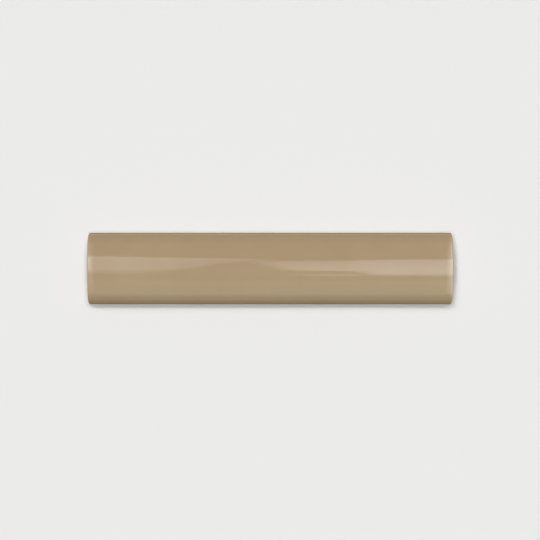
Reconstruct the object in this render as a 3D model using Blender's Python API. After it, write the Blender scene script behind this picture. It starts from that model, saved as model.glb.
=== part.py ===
"""External corner trim tile: a pressed and glazed ceramic strip that caps the outside corner of a tiled wall.

It lies on its two feet with the glazed face up. X runs along the strip, Y across it, Z up from the feet.
The section is one closed outline: a crowned face with tighter shoulders, an upright side on each long edge,
two flat feet, and between them a keyed channel at the angle of the wall corner that it sits over.
"""

import math

import bmesh
import bpy

MM = 0.001

# Overall size
LENGTH = 150.0 * MM  # end to end, along the wall corner
WIDTH = 29.5 * MM  # from one long side to the other
FACE_RISE = 8.3 * MM  # from the top of the upright sides to the crown
SIDE_HEIGHT = 3.9 * MM  # the upright side that the neighbouring wall tile meets

# Face
SHOULDER_RADIUS = 7.0 * MM  # curve from the crowned face down to each side
SHOULDER_LIMIT = 0.9  # most of the face's rise that the shoulder may take up
END_RUN = 3.4 * MM  # length over which the face rolls down to each end
END_DROP = 1.3 * MM  # how far it has come down at the end
CORNER_RADIUS = 0.45 * MM  # upright corners, seen from above

# Back
CROWN_WALL = 5.7 * MM  # clay between the channel and the crown
CORNER_ANGLE = math.radians(90.0)  # the wall corner that the channel sits over
CHANNEL_RADIUS = 8.0 * MM  # curve along the top of the channel
FOOT_EDGE_RADIUS = 0.4 * MM  # the long edges of the feet

# Keys: grooves along the channel, which the adhesive grips, shallow enough to leave the die straight down
KEY_PITCH = 2.6 * MM
KEY_WIDTH = 1.3 * MM
KEY_DEPTH = 0.3 * MM
KEY_MARGIN = 1.0 * MM  # plain clay between the outermost key and the foot

# Facets
CROWN_STEPS = 14
SHOULDER_STEPS = 10
FOOT_EDGE_STEPS = 3
KEY_STEPS = 4
PLAIN_STEPS = 2
END_STEPS = 9
SHARP_ANGLE = math.radians(30.0)  # facets that meet at more than this keep their edge

# Worked out from the sizes above
HEIGHT = SIDE_HEIGHT + FACE_RISE
FLANK_ANGLE = CORNER_ANGLE / 2  # a channel flank, measured from upright
FLANK_TURN = math.pi / 2 - FLANK_ANGLE  # how far the channel's curve turns to meet a flank
CHANNEL_CENTRE = HEIGHT - CROWN_WALL - CHANNEL_RADIUS
CHANNEL_ARC = CHANNEL_RADIUS * FLANK_TURN
FLANK_LENGTH = (CHANNEL_CENTRE + CHANNEL_RADIUS * math.cos(FLANK_TURN)) / math.cos(FLANK_ANGLE)
CHANNEL_REACH = CHANNEL_ARC + FLANK_LENGTH  # from the channel's middle to the floor
KEY_PAIRS = int((CHANNEL_REACH - KEY_MARGIN - KEY_WIDTH / 2) / KEY_PITCH)
END_ROLL_RADIUS = (END_RUN**2 + END_DROP**2) / (2 * END_DROP)

GLAZE_COLOUR = (0.413, 0.298, 0.178, 1.0)
GLAZE_ROUGHNESS = 0.08


def clear_scene():
    for obj in list(bpy.data.objects):
        bpy.data.objects.remove(obj, do_unlink=True)


def arc(centre, radius, start, end, steps):
    """Points on an arc in the section. Its angles are measured from +Z towards +Y."""
    y, z = centre
    angles = [start + (end - start) * i / steps for i in range(steps + 1)]
    return [(y + radius * math.sin(a), z + radius * math.cos(a)) for a in angles]


def face_half():
    """The face from the crown to the top of the +Y side: the crown's arc runs into the shoulder's."""
    shoulder = min(SHOULDER_RADIUS, SHOULDER_LIMIT * FACE_RISE)
    across = WIDTH / 2 - shoulder
    crown = (across**2 + FACE_RISE**2 - shoulder**2) / (2 * (FACE_RISE - shoulder))
    meeting = math.asin(across / (crown - shoulder))
    crown_arc = arc((0.0, HEIGHT - crown), crown, 0.0, meeting, CROWN_STEPS)
    side_top = (across, SIDE_HEIGHT)
    return crown_arc + arc(side_top, shoulder, meeting, math.pi / 2, SHOULDER_STEPS)[1:]


def channel_point(along, depth=0.0):
    """A point of the channel, that far along its outline from the middle and that deep in the clay."""
    turn = min(along / CHANNEL_RADIUS, FLANK_TURN)
    down = max(along - CHANNEL_ARC, 0.0)
    y = (CHANNEL_RADIUS + depth) * math.sin(turn) + down * math.sin(FLANK_ANGLE)
    z = (CHANNEL_RADIUS + depth) * math.cos(turn) - down * math.cos(FLANK_ANGLE)
    return y, CHANNEL_CENTRE + z


def channel_half(end):
    """The +Y half of the channel from that far along it to the middle, with its round-bottomed keys."""
    outline = []
    for key in range(KEY_PAIRS, -1, -1):
        outer_edge = key * KEY_PITCH + KEY_WIDTH / 2
        plain = [end + (outer_edge - end) * i / PLAIN_STEPS for i in range(PLAIN_STEPS)]
        outline += [channel_point(along) for along in plain]
        for i in range(KEY_STEPS + 1 if key else KEY_STEPS // 2 + 1):
            share = i / KEY_STEPS
            depth = KEY_DEPTH * (1 - (2 * share - 1) ** 2)
            outline.append(channel_point(outer_edge - KEY_WIDTH * share, depth))
        end = outer_edge - KEY_WIDTH
    return outline


def foot_and_channel_half():
    """The +Y foot, a flat rim with two rounded edges, then the channel up to the middle."""
    radius = FOOT_EDGE_RADIUS
    tangent = radius * math.tan(FLANK_TURN / 2)
    mouth = channel_point(CHANNEL_REACH)[0]
    outer = arc((WIDTH / 2 - radius, radius), radius, math.pi / 2, math.pi, FOOT_EDGE_STEPS)
    inner = arc((mouth + tangent, radius), radius, math.pi, math.pi + FLANK_TURN, FOOT_EDGE_STEPS)
    return outer + inner + channel_half(CHANNEL_REACH - tangent)[1:]


def section(inset, drop):
    """The closed outline, with its sides drawn in by inset and its face lowered by drop."""
    squeeze = 1 - inset / (WIDTH / 2)
    face = [(y * squeeze, z - drop) for y, z in face_half()]
    back = foot_and_channel_half()
    outer_edge = [(y * squeeze, z) for y, z in back[: FOOT_EDGE_STEPS + 1]]
    half = face + outer_edge + back[FOOT_EDGE_STEPS + 1 :]
    return half + [(-y, z) for y, z in reversed(half[1:-1])]


def round_off(distance, run, radius):
    """How far an arc that leaves a straight edge at run from the end has come away from it at a distance."""
    return radius - math.sqrt(radius**2 - max(run - distance, 0.0) ** 2)


def end_stations():
    """Each place along one end's roll as (distance from the end, inset, drop), from the end inwards.

    The face rolls down on an arc that stops short of upright, and the upright corners are full quarters."""
    stations = []
    for i in range(END_STEPS + 1):
        distance = END_RUN * (1 - math.cos(math.pi / 2 * i / END_STEPS))
        inset = round_off(distance, CORNER_RADIUS, CORNER_RADIUS)
        drop = round_off(distance, END_RUN, END_ROLL_RADIUS)
        stations.append((distance, inset, drop))
    return stations


def loft(rings):
    """A closed mesh through rings of points: one skin between neighbours, and a flat face at each end."""
    shape = bmesh.new()
    loops = [[shape.verts.new(point) for point in ring] for ring in rings]
    count = len(loops[0])
    for one, other in zip(loops, loops[1:]):
        for i in range(count):
            after = (i + 1) % count
            shape.faces.new((one[i], one[after], other[after], other[i]))
    shape.faces.new(loops[0])
    shape.faces.new(loops[-1])
    bmesh.ops.recalc_face_normals(shape, faces=shape.faces)
    return shape


def trim_mesh():
    near_end = [
        (distance - LENGTH / 2, section(inset, drop))
        for distance, inset, drop in end_stations()
    ]
    far_end = [(-x, outline) for x, outline in reversed(near_end)]
    rings = [[(x, y, z) for y, z in outline] for x, outline in near_end + far_end]
    mesh = bpy.data.meshes.new("corner_trim_tile")
    shape = loft(rings)
    shape.to_mesh(mesh)
    shape.free()
    mesh.shade_smooth()
    mesh.set_sharp_from_angle(angle=SHARP_ANGLE)
    return mesh


def glaze_material():
    material = bpy.data.materials.new("beige_glaze")
    material.use_nodes = True
    shader = material.node_tree.nodes["Principled BSDF"]
    shader.inputs["Base Color"].default_value = GLAZE_COLOUR
    shader.inputs["Roughness"].default_value = GLAZE_ROUGHNESS
    return material


def main():
    clear_scene()
    tile = bpy.data.objects.new("corner_trim_tile", trim_mesh())
    tile.data.materials.append(glaze_material())
    bpy.context.scene.collection.objects.link(tile)


main()
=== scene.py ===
"""The looks of the external corner trim tile: a pressed ceramic strip, glazed beige.

The tile is one fired piece, so one fine mesh stands for its one CAD node. It repeats the node's
section with finer steps and adds what the kiln leaves: a coat of glaze that ends in a wavering line
low on the sides and on the end faces, bare clay below that line and in the channel, and rounded end
edges. X runs along the strip, Y across it, Z up from the feet, as in the CAD.
"""

import math

import bmesh
import bpy
import numpy as np
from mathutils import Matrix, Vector, noise
from mathutils.geometry import delaunay_2d_cdt


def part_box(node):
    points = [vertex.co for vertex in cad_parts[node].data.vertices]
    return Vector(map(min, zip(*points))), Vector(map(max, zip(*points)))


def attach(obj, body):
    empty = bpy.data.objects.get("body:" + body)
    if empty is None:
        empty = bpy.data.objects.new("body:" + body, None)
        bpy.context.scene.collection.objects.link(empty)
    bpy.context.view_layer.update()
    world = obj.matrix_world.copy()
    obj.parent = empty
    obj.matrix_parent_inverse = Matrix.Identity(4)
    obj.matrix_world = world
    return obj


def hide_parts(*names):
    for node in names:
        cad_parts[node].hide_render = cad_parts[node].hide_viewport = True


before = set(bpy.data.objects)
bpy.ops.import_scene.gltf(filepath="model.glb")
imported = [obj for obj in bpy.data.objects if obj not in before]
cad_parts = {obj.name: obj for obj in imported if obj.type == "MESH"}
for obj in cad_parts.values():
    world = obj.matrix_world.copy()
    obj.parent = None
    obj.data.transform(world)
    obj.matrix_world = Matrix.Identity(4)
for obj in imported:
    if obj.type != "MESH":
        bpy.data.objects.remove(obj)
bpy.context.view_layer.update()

MM = 0.001
TILE_NODE = "corner_trim_tile"

# The CAD section's sizes, in metres
tile_low, tile_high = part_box(TILE_NODE)
LENGTH = tile_high.x - tile_low.x
WIDTH = tile_high.y - tile_low.y
HEIGHT = tile_high.z - tile_low.z
SIDE_HEIGHT = 3.9 * MM
SHOULDER_RADIUS = 7.0 * MM
END_RUN = 3.4 * MM
END_DROP = 1.3 * MM
CORNER_RADIUS = 0.45 * MM
CROWN_WALL = 5.7 * MM
CHANNEL_RADIUS = 8.0 * MM
FLANK_ANGLE = math.radians(45)
FOOT_EDGE_RADIUS = 0.4 * MM
KEY_PITCH = 2.6 * MM
KEY_WIDTH = 1.3 * MM
KEY_DEPTH = 0.3 * MM
KEY_PAIRS = 4

# Worked out from them, as in the CAD
FACE_RISE = HEIGHT - SIDE_HEIGHT
FLANK_TURN = math.pi / 2 - FLANK_ANGLE
CHANNEL_CENTRE = HEIGHT - CROWN_WALL - CHANNEL_RADIUS
CHANNEL_ARC = CHANNEL_RADIUS * FLANK_TURN
FLANK_LENGTH = (CHANNEL_CENTRE + CHANNEL_RADIUS * math.cos(FLANK_TURN)) / math.cos(FLANK_ANGLE)
CHANNEL_REACH = CHANNEL_ARC + FLANK_LENGTH
END_ROLL_RADIUS = (END_RUN**2 + END_DROP**2) / (2 * END_DROP)

# Steps of the fine mesh
CROWN_STEPS = 32
SHOULDER_STEPS = 24
SIDE_STEPS = 14
FOOT_EDGE_STEPS = 4
KEY_STEPS = 8
LAND_STEPS = 5  # plain clay between two keys
LAST_LAND_STEPS = 3  # plain clay between the outermost key and the foot
OUTER_POINTS = 2 * (CROWN_STEPS + SHOULDER_STEPS + SIDE_STEPS + FOOT_EDGE_STEPS) + 1
FOOT_STEPS = 12  # across each foot
END_STEPS = 18
MIDDLE_STEPS = 150
END_FACE_STEP = 0.4 * MM  # between the points inside an end face
OUTLINE_MARGIN = 0.8 * END_FACE_STEP  # between those points and the face's outline
INSIDE_TRIANGLES = 1  # asks for the triangles inside the outline only
TRIANGLE_TOLERANCE = 1e-6  # in millimetres

# Rounded edges that firing leaves
END_EDGE_RADIUS = 0.3 * MM  # edges of the feet and the channel at each end
ARRIS_RADIUS = 0.15 * MM  # edge between the rolled face and each end face

# Drifts of the surface, each as layers of (size of its waves, seed, share)
SEED_SHIFT = (17.3, 5.1, 9.7)  # how far apart two seeds lie in the noise
GLAZE_LINE_WAVES = ((9 * MM, 3, 1.0), (2.5 * MM, 4, 0.4))
END_GLAZE_WAVES = ((4 * MM, 5, 1.0), (1.6 * MM, 6, 0.5))
EDGE_LINE_WAVES = ((11 * MM, 8, 1.0),)
FACE_WAVES = ((14 * MM, 1, 1.0), (14 * MM / 3, 2, 0.35))

# The coat of glaze
GLAZE_THICKNESS = 0.2 * MM
FACE_WAVE_HEIGHT = 0.012 * MM
LINE_HEIGHT = 1.1 * MM  # bare clay along the bottom of each side
LINE_DRIFT = 0.45 * MM
END_REACH = 2.0 * MM  # how far the glaze runs down an end face
END_DRIFT = 1.0 * MM
LOW_END_REACH = 0.35  # share of that reach that is left at the foot
BORDER_TURN = 0.3 * MM  # rounding of the border where it turns up from a side
FIELD_LIMIT = 1.0 * MM  # how far from the border the distance to it still counts
BARE_BELOW = -0.25 * MM  # the coat has run out this far past the border
FULL_ABOVE = 0.05 * MM  # and has its full thickness this far inside it
LIP_HEIGHT = 0.05 * MM  # bead along the border
LIP_PLACE = 0.35 * MM  # from the border to the top of the bead
LIP_WIDTH = 0.25 * MM
END_OUTLINE_POWER = 2.4  # how full the arch is that stands for an end face's outline

# Where the glaze has run thin, with a painted highlight laid on the same places
THIN_AND_HIGHLIGHT_REACH = 0.60 * MM  # how far from an end's arris it is thin and painted lighter
LEFT_END_HIGHLIGHT_SHARE = 0.45  # of that thinness and painted highlight, at the -X end; the +X end is painted lighter, as more light falls on it
EDGE_LINE = 14.05 * MM  # from the middle to the lighter line along each long edge, partly thin glaze and partly a painted highlight
EDGE_LINE_REACH = 0.2 * MM
EDGE_LINE_SHARE = 0.36
EDGE_LINE_DRIFT = 0.6

# Colours, linear
GLAZE = (0.424, 0.305, 0.183, 1.0)
GLAZE_OLIVE = (0.440, 0.333, 0.194, 1.0)
GLAZE_THICK = (0.365, 0.253, 0.142, 1.0)
# lighter glaze where it has run thin, also used as a painted highlight on the ends' rolled edges
# and along the long edges
GLAZE_THIN_AND_HIGHLIGHT = (0.68, 0.485, 0.28, 1.0)
CLAY = (0.90, 0.75, 0.56, 1.0)
CLAY_DARK = (0.50, 0.36, 0.23, 1.0)

# The glaze in the material. A noise is (size of its features, detail, roughness), where a plain
# roughness is left out. A range is the two values that go to 0 and to 1.
BORDER_NOISE = (0.5 * MM, 3.0)
BORDER_WANDER = 0.3  # in millimetres, as the glaze_field attribute is
BORDER_RANGE = (-0.04, 0.04)
CAST_NOISE = (22 * MM, 3.0)
CAST_RANGE = (0.35, 0.65)
OLIVE_SIDE_RANGE = (1.0 * MM, -6.0 * MM)  # in Y
OLIVE_SIDE_SHARE = 0.45  # of the olive cast, from the side of the tile and not from its noise
MOTTLE_NOISE = (13 * MM, 4.0)
MOTTLE_RANGE = (0.3, 0.7)
MOTTLE_SHARE = 0.18
POOL_SHARE = 0.8
THIN_AND_HIGHLIGHT_SHARE = 0.92
SATIN_NOISE = (2.5 * MM, 2.0)
SATIN_RANGE = (0.3, 0.7)
GLAZE_ROUGHNESS = (0.05, 0.07)
PEEL_NOISE = (1.6 * MM, 1.0)
PEEL_DEPTH = 0.004 * MM

# The bare clay in the material
CLOUD_NOISE = (5 * MM, 3.0)
CLOUD_SHARE = 0.4
SPECKLE_NOISE = (0.7 * MM, 3.0, 0.6)
SPECKLE_RANGE = (0.56, 0.72)
SPECKLE_SHARE = 0.7
GRAIN_NOISE = (0.22 * MM, 4.0, 0.7)
GRAIN_DEPTH = 0.06 * MM
CLAY_ROUGHNESS = 0.85


def arc(centre, radius, start, end, steps):
    """Points on an arc in the section. Its angles are measured from +Z towards +Y."""
    y, z = centre
    angles = [start + (end - start) * i / steps for i in range(steps + 1)]
    return [(y + radius * math.sin(a), z + radius * math.cos(a)) for a in angles]


def line(start, end, steps):
    """Points along a straight line in the section."""
    (y0, z0), (y1, z1) = start, end
    return [(y0 + (y1 - y0) * i / steps, z0 + (z1 - z0) * i / steps) for i in range(steps + 1)]


def outer_half(inset, drop):
    """From the crown over the +Y shoulder and down the side to the foot."""
    across = WIDTH / 2 - SHOULDER_RADIUS
    crown = (across**2 + FACE_RISE**2 - SHOULDER_RADIUS**2) / (2 * (FACE_RISE - SHOULDER_RADIUS))
    meeting = math.asin(across / (crown - SHOULDER_RADIUS))
    radius = FOOT_EDGE_RADIUS
    side_top = SIDE_HEIGHT - drop
    points = arc((0.0, HEIGHT - crown - drop), crown, 0.0, meeting, CROWN_STEPS)
    points += arc((across, side_top), SHOULDER_RADIUS, meeting, math.pi / 2, SHOULDER_STEPS)[1:]
    points += line((WIDTH / 2, side_top), (WIDTH / 2, radius), SIDE_STEPS)[1:]
    foot_centre = (WIDTH / 2 - radius, radius)
    points += arc(foot_centre, radius, math.pi / 2, math.pi, FOOT_EDGE_STEPS)[1:]
    squeeze = 1 - inset / (WIDTH / 2)
    return [(y * squeeze, z) for y, z in points]


def channel_point(along, depth=0.0):
    """A point that far along the channel's outline from its middle, and that deep in the clay."""
    turn = min(along / CHANNEL_RADIUS, FLANK_TURN)
    down = max(along - CHANNEL_ARC, 0.0)
    y = (CHANNEL_RADIUS + depth) * math.sin(turn) + down * math.sin(FLANK_ANGLE)
    z = (CHANNEL_RADIUS + depth) * math.cos(turn) - down * math.cos(FLANK_ANGLE)
    return y, CHANNEL_CENTRE + z


def key_point(start, share):
    """A point of the round-bottomed key that starts there, at a share of its width."""
    return channel_point(start + KEY_WIDTH * share, KEY_DEPTH * (1 - (2 * share - 1) ** 2))


def land_points(start, end, steps):
    """Points along plain clay, after its first one."""
    return [channel_point(start + (end - start) * i / steps) for i in range(1, steps + 1)]


def inner_half():
    """From the middle of the channel along the +Y flank, with its keys, to the foot."""
    radius = FOOT_EDGE_RADIUS
    tangent = radius * math.tan(FLANK_TURN / 2)
    middle_steps = range(KEY_STEPS // 2, KEY_STEPS + 1)
    points = [key_point(-KEY_WIDTH / 2, i / KEY_STEPS) for i in middle_steps]
    key_end = KEY_WIDTH / 2
    for _ in range(KEY_PAIRS):
        key_start = key_end + KEY_PITCH - KEY_WIDTH
        points += land_points(key_end, key_start, LAND_STEPS)
        points += [key_point(key_start, i / KEY_STEPS) for i in range(1, KEY_STEPS + 1)]
        key_end += KEY_PITCH
    points += land_points(key_end, CHANNEL_REACH - tangent, LAST_LAND_STEPS)
    foot_centre = (channel_point(CHANNEL_REACH)[0] + tangent, radius)
    foot_edge = arc(foot_centre, radius, math.pi + FLANK_TURN, math.pi, FOOT_EDGE_STEPS)
    return points + foot_edge[1:]


def both_sides(half):
    """The whole path from the -Y foot to the +Y foot."""
    return [(-y, z) for y, z in reversed(half[1:])] + half


def round_off(distance, run, radius):
    """How far an arc that leaves a straight edge at run from its end has curved away from it.

    The distance is measured from that end."""
    return radius - math.sqrt(radius**2 - max(run - distance, 0.0) ** 2)


def drawn_in(ring, first, amount):
    """The ring, drawn into the clay by that amount from its point number first on.

    The points before that are drawn in only as far as they face down."""
    tangent = np.roll(ring, -1, axis=0) - np.roll(ring, 1, axis=0)
    outward = np.stack([-tangent[:, 1], tangent[:, 0]], axis=1)
    outward /= np.linalg.norm(outward, axis=1, keepdims=True)
    share = np.ones(len(ring))
    share[:first] = np.clip(-outward[:first, 1], 0, 1)
    return ring - outward * (amount * share)[:, None]


def ring_at(distance):
    """The closed section that far from the nearer end: outer path, +Y foot, channel, -Y foot."""
    inset = round_off(distance, CORNER_RADIUS, CORNER_RADIUS)
    roll = round_off(distance, END_RUN, END_ROLL_RADIUS)
    arris = round_off(distance, ARRIS_RADIUS, ARRIS_RADIUS)
    outer = both_sides(outer_half(inset, roll + arris))
    inner = both_sides(inner_half())
    right_foot = line(outer[-1], inner[-1], FOOT_STEPS)[1:-1]
    left_foot = line(inner[0], outer[0], FOOT_STEPS)[1:-1]
    ring = np.array(outer + right_foot + inner[::-1] + left_foot)
    ease = round_off(distance, END_EDGE_RADIUS, END_EDGE_RADIUS)
    return drawn_in(ring, len(outer), ease)


def station_distances():
    """Distance from the near end of each ring, close together along the rolled ends."""
    roll = [END_RUN * (1 - math.cos(math.pi / 2 * i / END_STEPS)) for i in range(END_STEPS + 1)]
    middle = LENGTH - 2 * END_RUN
    between = [END_RUN + middle * i / MIDDLE_STEPS for i in range(1, MIDDLE_STEPS)]
    return roll + between + [LENGTH - d for d in reversed(roll)]


def inside_outline(points, ring):
    """Which points lie inside the closed ring, by counting the edges above each."""
    after = np.roll(ring, -1, axis=0)
    y, z = points[:, 0, None], points[:, 1, None]
    spans = (ring[:, 0] > y) != (after[:, 0] > y)
    run, rise = (after - ring).T
    with np.errstate(divide="ignore", invalid="ignore"):
        height = ring[:, 1] + (y - ring[:, 0]) * rise / run
    return (spans & (height > z)).sum(axis=1) % 2 == 1


def end_face(ring):
    """Points inside the ring, and triangles over both, numbered with the ring's points first."""
    across = np.arange(-WIDTH / 2, WIDTH / 2, END_FACE_STEP)
    up = np.arange(END_FACE_STEP / 2, HEIGHT, END_FACE_STEP)
    rows = [[(y + END_FACE_STEP / 2 * (i % 2), z) for y in across] for i, z in enumerate(up)]
    points = np.concatenate(rows)
    gap = np.linalg.norm(points[:, None] - ring[None], axis=2).min(axis=1)
    points = points[inside_outline(points, ring) & (gap > OUTLINE_MARGIN)]
    flat = [Vector(p) / MM for p in np.concatenate([ring, points])]
    outline = [list(range(len(ring)))]
    made = delaunay_2d_cdt(flat, [], outline, INSIDE_TRIANGLES, TRIANGLE_TOLERANCE)
    triangles, sources = made[2], made[3]
    return points, [tuple(sources[corner][0] for corner in t) for t in triangles]


def tile_surface():
    """The closed mesh's vertices and faces, and which vertices lie on its outside and its ends."""
    distances = station_distances()
    rings = [ring_at(min(distance, LENGTH - distance)) for distance in distances]
    vertices, faces = [], []
    for distance, ring in zip(distances, rings):
        vertices += [(distance - LENGTH / 2, y, z) for y, z in ring]
    count = len(rings[0])
    for station in range(len(rings) - 1):
        here, there = station * count, (station + 1) * count
        for i in range(count):
            after = (i + 1) % count
            faces.append((here + i, here + after, there + after, there + i))
    skin = len(vertices)
    points, triangles = end_face(rings[0])
    for base in (0, skin - count):
        added = len(vertices) - count
        x = vertices[base][0]
        vertices += [(x, y, z) for y, z in points]
        faces += [tuple((base if i < count else added) + i for i in t) for t in triangles]
    on_outer = np.zeros(len(vertices), bool)
    on_outer[:skin] = np.arange(skin) % count < OUTER_POINTS
    on_end = np.arange(len(vertices)) >= skin
    return np.array(vertices), faces, on_outer, on_end


def closed_mesh(name, vertices, faces):
    """A mesh with its faces turned outwards."""
    mesh = bpy.data.meshes.new(name)
    mesh.from_pydata(vertices.tolist(), [], faces)
    shape = bmesh.new()
    shape.from_mesh(mesh)
    bmesh.ops.recalc_face_normals(shape, faces=shape.faces)
    shape.to_mesh(mesh)
    shape.free()
    return mesh


def drift(points, layers):
    """Smooth noise around 0 at each point, as the sum of the layers."""
    total = np.zeros(len(points))
    for size, seed, share in layers:
        offset = Vector([seed * shift for shift in SEED_SHIFT])
        total += share * np.array([noise.noise(Vector(p) / size + offset) for p in points])
    return total


def outline_depth(vertices):
    """How far each vertex lies below the face's outline, for the glaze on the end faces."""
    crown_z = HEIGHT - END_DROP - ARRIS_RADIUS
    across = np.abs(vertices[:, 1]) / (WIDTH / 2 - CORNER_RADIUS)
    arch = np.sqrt(np.clip(1 - across**END_OUTLINE_POWER, 0, 1))
    edge = SIDE_HEIGHT + (crown_z - SIDE_HEIGHT) * arch
    return np.minimum(edge - vertices[:, 2], (1 - across) * WIDTH / 2)


def lesser(one, other, rounding):
    """The lesser of two arrays, rounded off where they cross."""
    return -rounding * np.logaddexp(-one / rounding, -other / rounding)


def glaze_field(vertices, on_outer, on_end):
    """Distance inside the glaze's border, in metres: positive where there is glaze."""
    plan = vertices * (1, 1, 0)
    above = vertices[:, 2] - (LINE_HEIGHT + LINE_DRIFT * drift(plan, GLAZE_LINE_WAVES))
    reach = END_REACH + END_DRIFT * drift(vertices, END_GLAZE_WAVES)
    reach *= LOW_END_REACH + (1 - LOW_END_REACH) * np.clip(vertices[:, 2] / HEIGHT, 0, 1)
    down_end = lesser(reach - outline_depth(vertices), above, BORDER_TURN)
    field = np.full(len(vertices), -FIELD_LIMIT)
    field[on_outer] = above[on_outer]
    field[on_end] = down_end[on_end]
    return np.clip(field, -FIELD_LIMIT, FIELD_LIMIT)


def thin_glaze_and_painted_highlight(vertices, on_outer, on_end):
    """How thin the glaze has run, from 0 to 1, with a painted highlight on it: at the ends' arrises
    and along the long edges.
    """
    from_arris = LENGTH / 2 - np.abs(vertices[:, 0])
    from_arris[on_end] = np.maximum(outline_depth(vertices), 0)[on_end]
    # painted highlight: the -X end gets less of it than the +X end
    end_share = np.where(vertices[:, 0] < 0, LEFT_END_HIGHLIGHT_SHARE, 1)
    at_arris = np.exp(-from_arris / THIN_AND_HIGHLIGHT_REACH) * end_share * (on_outer | on_end)
    # a lighter line along each long edge: partly thin glaze, partly a painted highlight
    from_line = (np.abs(vertices[:, 1]) - EDGE_LINE) / EDGE_LINE_REACH
    along = 1 + EDGE_LINE_DRIFT * drift(vertices * (1, 0, 0), EDGE_LINE_WAVES)
    on_face = on_outer * (vertices[:, 2] > SIDE_HEIGHT)
    at_line = EDGE_LINE_SHARE * along * np.exp(-(from_line**2)) * on_face
    return np.maximum(at_arris, at_line)


def smooth_step(low, high, values):
    """0 below low, 1 above high, and an even curve between them."""
    share = np.clip((values - low) / (high - low), 0, 1)
    return share * share * (3 - 2 * share)


def store(mesh, name, values):
    """Keep one value for each of the mesh's vertices, for its material to read."""
    made = mesh.attributes.new(name, "FLOAT", "POINT")
    made.data.foreach_set("value", values.astype(np.float32))


def glazed_tile():
    """The tile's mesh, with the coat of glaze standing proud of the bare clay."""
    vertices, faces, on_outer, on_end = tile_surface()
    mesh = closed_mesh("glazed_corner_trim", vertices, faces)
    normals = np.array([v.vector for v in mesh.vertex_normals])
    field = glaze_field(vertices, on_outer, on_end)
    bare = 1 - smooth_step(BARE_BELOW, FULL_ABOVE, field)
    lip = np.exp(-(((field - LIP_PLACE) / LIP_WIDTH) ** 2)) * (on_outer | on_end)
    wave = drift(vertices, FACE_WAVES) * (1 - bare)
    shift = normals * (LIP_HEIGHT * lip + FACE_WAVE_HEIGHT * wave)[:, None]
    inset = GLAZE_THICKNESS * bare
    shift[:, 0] -= inset * vertices[:, 0] / (LENGTH / 2)
    shift[:, 1] -= inset * vertices[:, 1] / (WIDTH / 2) * on_outer
    mesh.vertices.foreach_set("co", (vertices + shift).astype(np.float32).ravel())
    store(mesh, "glaze_field", field / MM)
    # the lighter glaze at the ends and long edges is partly thin glaze and partly a painted
    # highlight
    store(mesh, "glaze_thin_and_highlight", thin_glaze_and_painted_highlight(vertices, on_outer, on_end))
    store(mesh, "glaze_pool", lip)
    mesh.shade_smooth()
    mesh.update()
    return mesh


def new_material(name):
    """A material and its node tree."""
    material = bpy.data.materials.new(name)
    material.use_nodes = True
    return material, material.node_tree


def feed(tree, socket, value):
    """Link the socket to another node's output, or set it to a plain value."""
    if isinstance(value, bpy.types.NodeSocket):
        tree.links.new(value, socket)
    else:
        socket.default_value = value


def add_node(tree, kind, values=None, **settings):
    """A shader node with its settings, and its sockets fed with values."""
    made = tree.nodes.new(kind)
    for name, setting in settings.items():
        setattr(made, name, setting)
    for name, value in (values or {}).items():
        feed(tree, made.inputs[name], value)
    return made


def mix(tree, kind, factor, first, second):
    """From first to second as factor goes from 0 to 1. The kind is "Color" or "Float"."""
    made = tree.nodes.new("ShaderNodeMix")
    made.data_type = "RGBA" if kind == "Color" else "FLOAT"
    sockets = {s.identifier: s for s in made.inputs}
    feed(tree, sockets["Factor_Float"], factor)
    feed(tree, sockets[f"A_{kind}"], first)
    feed(tree, sockets[f"B_{kind}"], second)
    return next(s for s in made.outputs if s.identifier == f"Result_{kind}")


def math_node(tree, operation, *values):
    """The result of one operation on numbers."""
    return add_node(tree, "ShaderNodeMath", dict(enumerate(values)), operation=operation).outputs[0]


def noise_value(tree, place, size, detail, roughness=0.5):
    """Noise around 0.5 whose features are about that size, in metres."""
    values = {"Vector": place, "Scale": 1 / size, "Detail": detail, "Roughness": roughness}
    return add_node(tree, "ShaderNodeTexNoise", values).outputs[0]


def map_range(tree, value, limits, results=(0.0, 1.0)):
    """The value, stretched so that its two limits go to the two results."""
    values = {"Value": value, "From Min": limits[0], "From Max": limits[1]}
    values.update({"To Min": results[0], "To Max": results[1]})
    return add_node(tree, "ShaderNodeMapRange", values).outputs[0]


def stored(tree, name):
    """A value that the mesh keeps for each of its vertices."""
    return add_node(tree, "ShaderNodeAttribute", attribute_name=name).outputs["Fac"]


def glazed_share(tree, place):
    """1 where there is glaze and 0 on bare clay, with a border that wanders a little."""
    border = noise_value(tree, place, *BORDER_NOISE)
    wander = math_node(tree, "MULTIPLY_ADD", border, BORDER_WANDER, -BORDER_WANDER / 2)
    edge = math_node(tree, "ADD", stored(tree, "glaze_field"), wander)
    return map_range(tree, edge, BORDER_RANGE)


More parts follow.
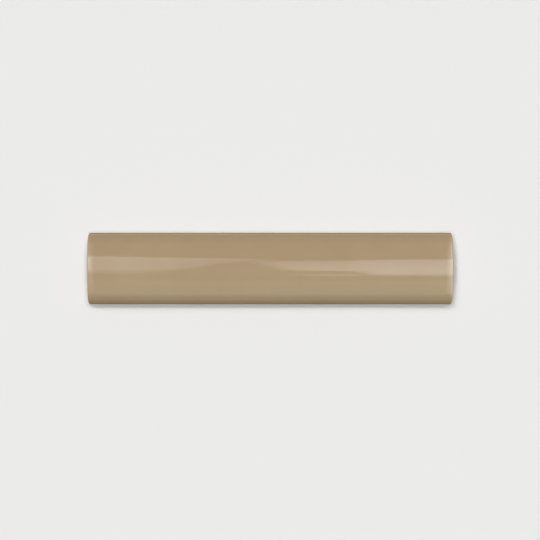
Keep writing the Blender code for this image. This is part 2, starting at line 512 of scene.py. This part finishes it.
def glaze_colour(tree, place):
    """Beige that drifts from warm to olive, darker where it pooled, and lighter where it is thin
    and where a highlight is painted on.
    """
    drifting = map_range(tree, noise_value(tree, place, *CAST_NOISE), CAST_RANGE)
    across = add_node(tree, "ShaderNodeSeparateXYZ", {0: place}).outputs["Y"]
    olive_side = map_range(tree, across, OLIVE_SIDE_RANGE, (0.0, OLIVE_SIDE_SHARE))
    cast = math_node(tree, "MULTIPLY_ADD", drifting, 1 - OLIVE_SIDE_SHARE, olive_side)
    mottle = map_range(tree, noise_value(tree, place, *MOTTLE_NOISE), MOTTLE_RANGE)
    pool_share = math_node(tree, "MULTIPLY", stored(tree, "glaze_pool"), POOL_SHARE)
    thick_share = math_node(tree, "MULTIPLY_ADD", mottle, MOTTLE_SHARE, pool_share)
    # share of thin glaze and painted highlight
    thin_and_highlight_share = math_node(tree, "MULTIPLY", stored(tree, "glaze_thin_and_highlight"), THIN_AND_HIGHLIGHT_SHARE)
    colour = mix(tree, "Color", cast, GLAZE, GLAZE_OLIVE)
    colour = mix(tree, "Color", thick_share, colour, GLAZE_THICK)
    return mix(tree, "Color", thin_and_highlight_share, colour, GLAZE_THIN_AND_HIGHLIGHT)


def clay_colour(tree, place):
    """Pale biscuit clay with soft clouds and dark speckles."""
    cloud = noise_value(tree, place, *CLOUD_NOISE)
    cloud_share = math_node(tree, "MULTIPLY", cloud, CLOUD_SHARE)
    speckle = map_range(tree, noise_value(tree, place, *SPECKLE_NOISE), SPECKLE_RANGE)
    dark_share = math_node(tree, "MULTIPLY_ADD", speckle, SPECKLE_SHARE, cloud_share)
    return mix(tree, "Color", dark_share, CLAY, CLAY_DARK)


def fired_bump(tree, place, glazed):
    """The glaze's slight orange peel and the bare clay's grain."""
    peel = {
        "Height": noise_value(tree, place, *PEEL_NOISE),
        "Distance": PEEL_DEPTH,
        "Strength": glazed,
    }
    grain = {
        "Height": noise_value(tree, place, *GRAIN_NOISE),
        "Distance": GRAIN_DEPTH,
        "Strength": math_node(tree, "SUBTRACT", 1.0, glazed),
        "Normal": add_node(tree, "ShaderNodeBump", peel).outputs[0],
    }
    return add_node(tree, "ShaderNodeBump", grain).outputs[0]


def fired_material():
    """Gloss glaze inside the glaze's border, and bare biscuit clay elsewhere."""
    material, tree = new_material("beige_glaze")
    shader = tree.nodes["Principled BSDF"]
    place = add_node(tree, "ShaderNodeTexCoord").outputs["Object"]
    glazed = glazed_share(tree, place)
    colour = mix(tree, "Color", glazed, clay_colour(tree, place), glaze_colour(tree, place))
    satin = map_range(tree, noise_value(tree, place, *SATIN_NOISE), SATIN_RANGE, GLAZE_ROUGHNESS)
    feed(tree, shader.inputs["Base Color"], colour)
    feed(tree, shader.inputs["Roughness"], mix(tree, "Float", glazed, CLAY_ROUGHNESS, satin))
    feed(tree, shader.inputs["Normal"], fired_bump(tree, place, glazed))
    return material


def place_tile():
    """The one visible piece, in place of the CAD node."""
    tile = bpy.data.objects.new("glazed_corner_trim", glazed_tile())
    tile.data.materials.append(fired_material())
    bpy.context.scene.collection.objects.link(tile)
    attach(tile, "root")
    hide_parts(TILE_NODE)


# The camera, with its lens in millimetres, and the floor
CAMERA_HEIGHT = 0.69
CAMERA_LENS = 110.55
CAMERA_OFFSET = (-0.00004, -0.00063)
CAMERA_CLIP = (0.05, 20.0)
FLOOR_SIZE = 14.0
FLOOR = (0.842, 0.841, 0.836, 1.0)  # the floor's colour, as it is seen
FLOOR_BOUNCE = (0.45, 0.45, 0.44, 1.0)  # and for the light that it throws back
FLOOR_ROUGHNESS = 0.9

# Each lamp is (name, tilt about X, tilt about Y, strength, spread, whether it casts shadows), with
# its angles in degrees. Each key throws its shadow on the side away from it, and the two at the
# back throw the widest, below the tile in the picture. The fill comes from where that one falls, so
# that the face is lit evenly.
LAMPS = (
    ("back_left_key", -21.5, -15.5, 1.00, 18.0, True),
    ("back_right_key", -17.0, 12.0, 0.64, 9.0, True),
    ("left_key", -5.0, -12.5, 0.36, 10.0, True),
    ("front_left_key", 8.0, -13.5, 0.43, 10.0, True),
    ("front_right_key", 11.0, 9.0, 0.28, 10.0, True),
    ("fill", 40.0, 16.0, 0.41, 60.0, False),
)

# The world. How far a direction points to a side, or up, is about 1 where it points straight there.
SKY_STRENGTH = 0.06
BRIGHT_SKY_STRENGTH = 0.16
BRIGHT_SKY_SIDE = (0.5, 0.85, 0.0)
BRIGHT_SKY_REACH = 0.8  # how far to that side the sky has its bright strength
BACKDROP_STRENGTH = 0.83  # the pale backdrop, low all round
BACKDROP_RANGE = (0.175, 0.115)  # how far up it has faded into the sky, and where it is full

# Sheets beside the tile stand in for the floor in its reflections, darker and warmer than the
# floor: painted shade in front and next to the back edge, and a painted warm reflection further
# back. Each is (name, near edge, far edge, colour), with the edges in Y. The floor shows between
# the two sheets at the back.
PAINTED_SHADE_SHEETS = (
    ("front_painted_shade", -0.0149, -0.6, (0.30, 0.18, 0.06, 1.0)),
    ("back_near_painted_shade", 0.0149, 0.0205, (0.36, 0.25, 0.12, 1.0)),
    ("back_far_painted_reflection", 0.0270, 0.6, (0.61, 0.42, 0.22, 1.0)),
)
PAINTED_SHEET_LENGTH = 1.0
PAINTED_SHEET_HEIGHT = 0.4 * MM
PAINTED_SHEET_ROUGHNESS = 1.0

# Each level light card is a band along X, as stations of (x, lower edge, upper edge, softness of
# the lower edge, of the upper edge, glow near the lower edge, near the upper), with its edges in Y.
CARD_HEIGHT = 0.9
CARD_GAP = 0.01  # between the levels of cards that overlap
MATT_BOUNCE = 0.5  # light's count of bounces off matt surfaces is below this before its first one
LEFT_CARD = (
    (-6.40, -0.50, 1.30, 0.40, 0.10, 1.6, 2.2),
    (-2.50, -0.25, 0.62, 0.20, 0.05, 3.2, 4.0),
    (-1.10, -0.19, 0.41, 0.16, 0.035, 2.3, 3.1),
    (-0.50, -0.165, 0.345, 0.15, 0.030, 1.6, 2.3),
    (-0.167, -0.155, 0.327, 0.15, 0.030, 1.5, 2.2),
    (-0.122, -0.148, 0.300, 0.14, 0.030, 1.5, 2.2),
    (-0.105, -0.090, 0.292, 0.07, 0.030, 1.4, 2.1),
    (-0.0824, -0.010, 0.282, 0.03, 0.028, 1.3, 1.9),
    (-0.0598, 0.066, 0.274, 0.022, 0.026, 1.2, 1.6),
    (-0.0372, 0.136, 0.268, 0.016, 0.024, 1.0, 1.4),
    (-0.0170, 0.188, 0.258, 0.012, 0.020, 0.9, 1.1),
    (-0.0020, 0.222, 0.248, 0.004, 0.010, 0.7, 0.8),
)
RIGHT_CARD = (
    (-0.0190, 0.196, 0.206, 0.004, 0.004, 0.7, 0.7),
    (-0.0090, 0.122, 0.212, 0.010, 0.050, 1.2, 1.3),
    (0.0024, 0.036, 0.216, 0.010, 0.070, 1.5, 1.5),
    (0.0137, -0.040, 0.218, 0.010, 0.070, 2.0, 1.7),
    (0.0290, -0.060, 0.220, 0.010, 0.070, 2.2, 1.9),
    (0.0700, -0.064, 0.226, 0.010, 0.070, 2.3, 2.0),
    (0.0834, -0.092, 0.230, 0.020, 0.060, 2.5, 2.2),
    (0.0985, -0.197, 0.236, 0.070, 0.050, 2.9, 2.4),
    (0.1230, -0.202, 0.242, 0.080, 0.040, 3.1, 2.6),
    (0.1670, -0.202, 0.246, 0.080, 0.040, 2.8, 2.4),
    (0.5000, -0.216, 0.263, 0.085, 0.050, 3.0, 2.6),
    (1.1000, -0.259, 0.317, 0.100, 0.060, 3.0, 2.8),
    (2.5000, -0.386, 0.482, 0.130, 0.100, 3.2, 3.0),
    (6.4000, -0.810, 1.010, 0.280, 0.250, 3.8, 3.6),
)
STREAK_CARD = (
    (0.018, -0.156, -0.152, 0.002, 0.002, 0.5, 0.5),
    (0.040, -0.190, -0.136, 0.010, 0.010, 1.3, 1.3),
    (0.060, -0.194, -0.134, 0.010, 0.010, 1.5, 1.5),
    (0.078, -0.196, -0.136, 0.010, 0.010, 1.1, 1.1),
    (0.090, -0.196, -0.150, 0.010, 0.010, 0.5, 0.5),
)
SOFT_CARD = (
    (-1.2, -0.36, 0.16, 0.06, 0.16, 0.30, 0.42),
    (1.2, -0.36, 0.16, 0.06, 0.16, 0.30, 0.42),
)
FRONT_CARD = (
    (-1.2, -2.30, -0.318, 1.20, 0.018, 0.65, 0.62),
    (1.2, -2.30, -0.318, 1.20, 0.018, 0.65, 0.62),
)
BANDS = (
    ("left_card", LEFT_CARD),
    ("right_card", RIGHT_CARD),
    ("streak_card", STREAK_CARD),
    ("soft_card", SOFT_CARD),
    ("front_card", FRONT_CARD),
)

# Each end card is a band along Y that leans over an end, as edges of (x, height, glow). Its glow is
# full as far as its core reaches from the middle, and gone at its two ends.
END_CARD_CORE = 0.24
END_CARD_REACH = 0.78
RIGHT_END_CARD = ((0.36, 0.86, 0.0), (0.66, 0.56, 2.0), (0.90, 0.06, 4.0))
LEFT_END_CARD = ((-0.35, 0.90, 0.0), (-0.62, 0.62, 1.3), (-0.90, 0.12, 1.5))


def add_stage(name, vertices, faces, material):
    """A mesh of the studio, which isn't part of the tile."""
    mesh = bpy.data.meshes.new(name)
    mesh.from_pydata(vertices, [], faces)
    mesh.materials.append(material)
    piece = bpy.data.objects.new(name, mesh)
    bpy.context.scene.collection.objects.link(piece)
    return piece


def add_sheet(name, length, low, high, height, material):
    """A level sheet of that length along X, from low to high in Y."""
    half = length / 2
    corners = [(-half, low), (half, low), (half, high), (-half, high)]
    return add_stage(name, [(x, y, height) for x, y in corners], [(0, 1, 2, 3)], material)


def show_only_reflected(piece):
    """Hide a piece of the studio from all but reflections."""
    piece.visible_camera = False
    piece.visible_diffuse = False
    piece.visible_shadow = False


def glow_material():
    """White light of the strength in the mesh's glow attribute, added to whatever is behind it.

    It shows in the tile, and the tile throws none of it on the floor."""
    material, tree = new_material("card_light")
    tree.nodes.clear()
    path = add_node(tree, "ShaderNodeLightPath")
    direct = math_node(tree, "LESS_THAN", path.outputs["Diffuse Depth"], MATT_BOUNCE)
    strength = math_node(tree, "MULTIPLY", stored(tree, "glow"), direct)
    light = add_node(tree, "ShaderNodeEmission", {"Strength": strength})
    clear = add_node(tree, "ShaderNodeBsdfTransparent")
    both = add_node(tree, "ShaderNodeAddShader", {0: light.outputs[0], 1: clear.outputs[0]})
    add_node(tree, "ShaderNodeOutputMaterial", {"Surface": both.outputs[0]})
    return material


def add_card(name, stations, material):
    """A light card, as stations of (its four points, the glow at the two in the middle).

    The glow is gone at the outer two."""
    vertices, glow, faces = [], [], []
    for points, inner_glow in stations:
        vertices += points
        glow += [0.0, *inner_glow, 0.0]
    for station in range(len(stations) - 1):
        for row in range(3):
            corner = 4 * station + row
            faces.append((corner, corner + 4, corner + 5, corner + 1))
    card = add_stage(name, vertices, faces, material)
    store(card.data, "glow", np.array(glow))
    show_only_reflected(card)


def add_band(name, band, height, material):
    """A level card along X."""
    stations = []
    for x, low, high, soft_low, soft_high, low_glow, high_glow in band:
        edges = (low, low + soft_low, high - soft_high, high)
        stations.append(([(x, y, height) for y in edges], (low_glow, high_glow)))
    add_card(name, stations, material)


def add_end_card(name, edges, material):
    """A card along Y that leans over an end."""
    reaches = (-END_CARD_REACH, -END_CARD_CORE, END_CARD_CORE, END_CARD_REACH)
    stations = [([(x, y, z) for y in reaches], (glow, glow)) for x, z, glow in edges]
    add_card(name, stations, material)


def add_cards():
    """The cards that give the tile its highlights."""
    material = glow_material()
    for level, (name, band) in enumerate(BANDS):
        add_band(name, band, CARD_HEIGHT + level * CARD_GAP, material)
    add_end_card("right_end_card", RIGHT_END_CARD, material)
    add_end_card("left_end_card", LEFT_END_CARD, material)


def add_lamp(name, tilt_x, tilt_y, strength, spread, casts_shadow):
    """A broad lamp from above, which leaves no highlight of its own."""
    lamp = bpy.data.lights.new(name, "SUN")
    lamp.energy = strength
    lamp.angle = math.radians(spread)
    lamp.use_shadow = casts_shadow
    lamp.cycles.use_multiple_importance_sampling = casts_shadow
    holder = bpy.data.objects.new(name, lamp)
    holder.rotation_euler = (math.radians(tilt_x), math.radians(tilt_y), 0.0)
    holder.visible_glossy = False
    bpy.context.scene.collection.objects.link(holder)


def add_painted_shade_sheet(name, near, far, colour):
    """A matt sheet beside the tile that only shows in reflections, where its colour paints shade,
    and at the back a warm reflection, in place of the floor.
    """
    material, tree = new_material(name)
    shader = tree.nodes["Principled BSDF"]
    shader.inputs["Base Color"].default_value = colour
    shader.inputs["Roughness"].default_value = PAINTED_SHEET_ROUGHNESS
    low, high = sorted((near, far))
    show_only_reflected(add_sheet(name, PAINTED_SHEET_LENGTH, low, high, PAINTED_SHEET_HEIGHT, material))


def seen_or_reflected(tree):
    """1 for what the camera sees, straight or in a reflection, and 0 for light on other ways."""
    path = add_node(tree, "ShaderNodeLightPath")
    seen = math_node(tree, "ADD", path.outputs["Is Camera Ray"], path.outputs["Is Glossy Ray"])
    return math_node(tree, "ADD", seen, path.outputs["Is Transmission Ray"])


def floor_material():
    """Matt white, which throws less light back on the tile than it shows."""
    material, tree = new_material("floor")
    shader = tree.nodes["Principled BSDF"]
    shown = mix(tree, "Color", seen_or_reflected(tree), FLOOR_BOUNCE, FLOOR)
    feed(tree, shader.inputs["Base Color"], shown)
    shader.inputs["Roughness"].default_value = FLOOR_ROUGHNESS
    shader.inputs["Specular IOR Level"].default_value = 0.0
    return material


def add_world():
    """Soft white light from all round, brighter on one side, over a low pale backdrop."""
    world = bpy.data.worlds.new("studio")
    world.use_nodes = True
    tree = world.node_tree
    direction = add_node(tree, "ShaderNodeTexCoord").outputs["Generated"]
    sides = {0: direction, 1: BRIGHT_SKY_SIDE}
    aside = add_node(tree, "ShaderNodeVectorMath", sides, operation="DOT_PRODUCT").outputs["Value"]
    strengths = (SKY_STRENGTH, BRIGHT_SKY_STRENGTH)
    sky = map_range(tree, aside, (0.0, BRIGHT_SKY_REACH), strengths)
    up = add_node(tree, "ShaderNodeSeparateXYZ", {0: direction}).outputs["Z"]
    low = map_range(tree, up, BACKDROP_RANGE)
    backdrop = math_node(tree, "MULTIPLY", low, seen_or_reflected(tree))
    strength = map_range(tree, backdrop, (0.0, 1.0), (sky, BACKDROP_STRENGTH))
    background = tree.nodes["Background"]
    background.inputs["Color"].default_value = (1.0, 1.0, 1.0, 1.0)
    feed(tree, background.inputs["Strength"], strength)
    bpy.context.scene.world = world


def add_camera():
    """Straight above the tile, with +Y at the top of the picture."""
    lens = bpy.data.cameras.new("camera")
    lens.lens = CAMERA_LENS
    lens.clip_start, lens.clip_end = CAMERA_CLIP
    camera = bpy.data.objects.new("camera", lens)
    camera.location = (*CAMERA_OFFSET, CAMERA_HEIGHT)
    bpy.context.scene.collection.objects.link(camera)
    bpy.context.scene.camera = camera


place_tile()
add_sheet("floor", FLOOR_SIZE, -FLOOR_SIZE / 2, FLOOR_SIZE / 2, 0.0, floor_material())
add_cards()
for lamp_settings in LAMPS:
    add_lamp(*lamp_settings)
# the sheets paint shade and a warm reflection into the tile's reflections of the floor
for painted_sheet_settings in PAINTED_SHADE_SHEETS:
    add_painted_shade_sheet(*painted_sheet_settings)
add_world()
add_camera()
bpy.context.scene.view_settings.view_transform = "Standard"
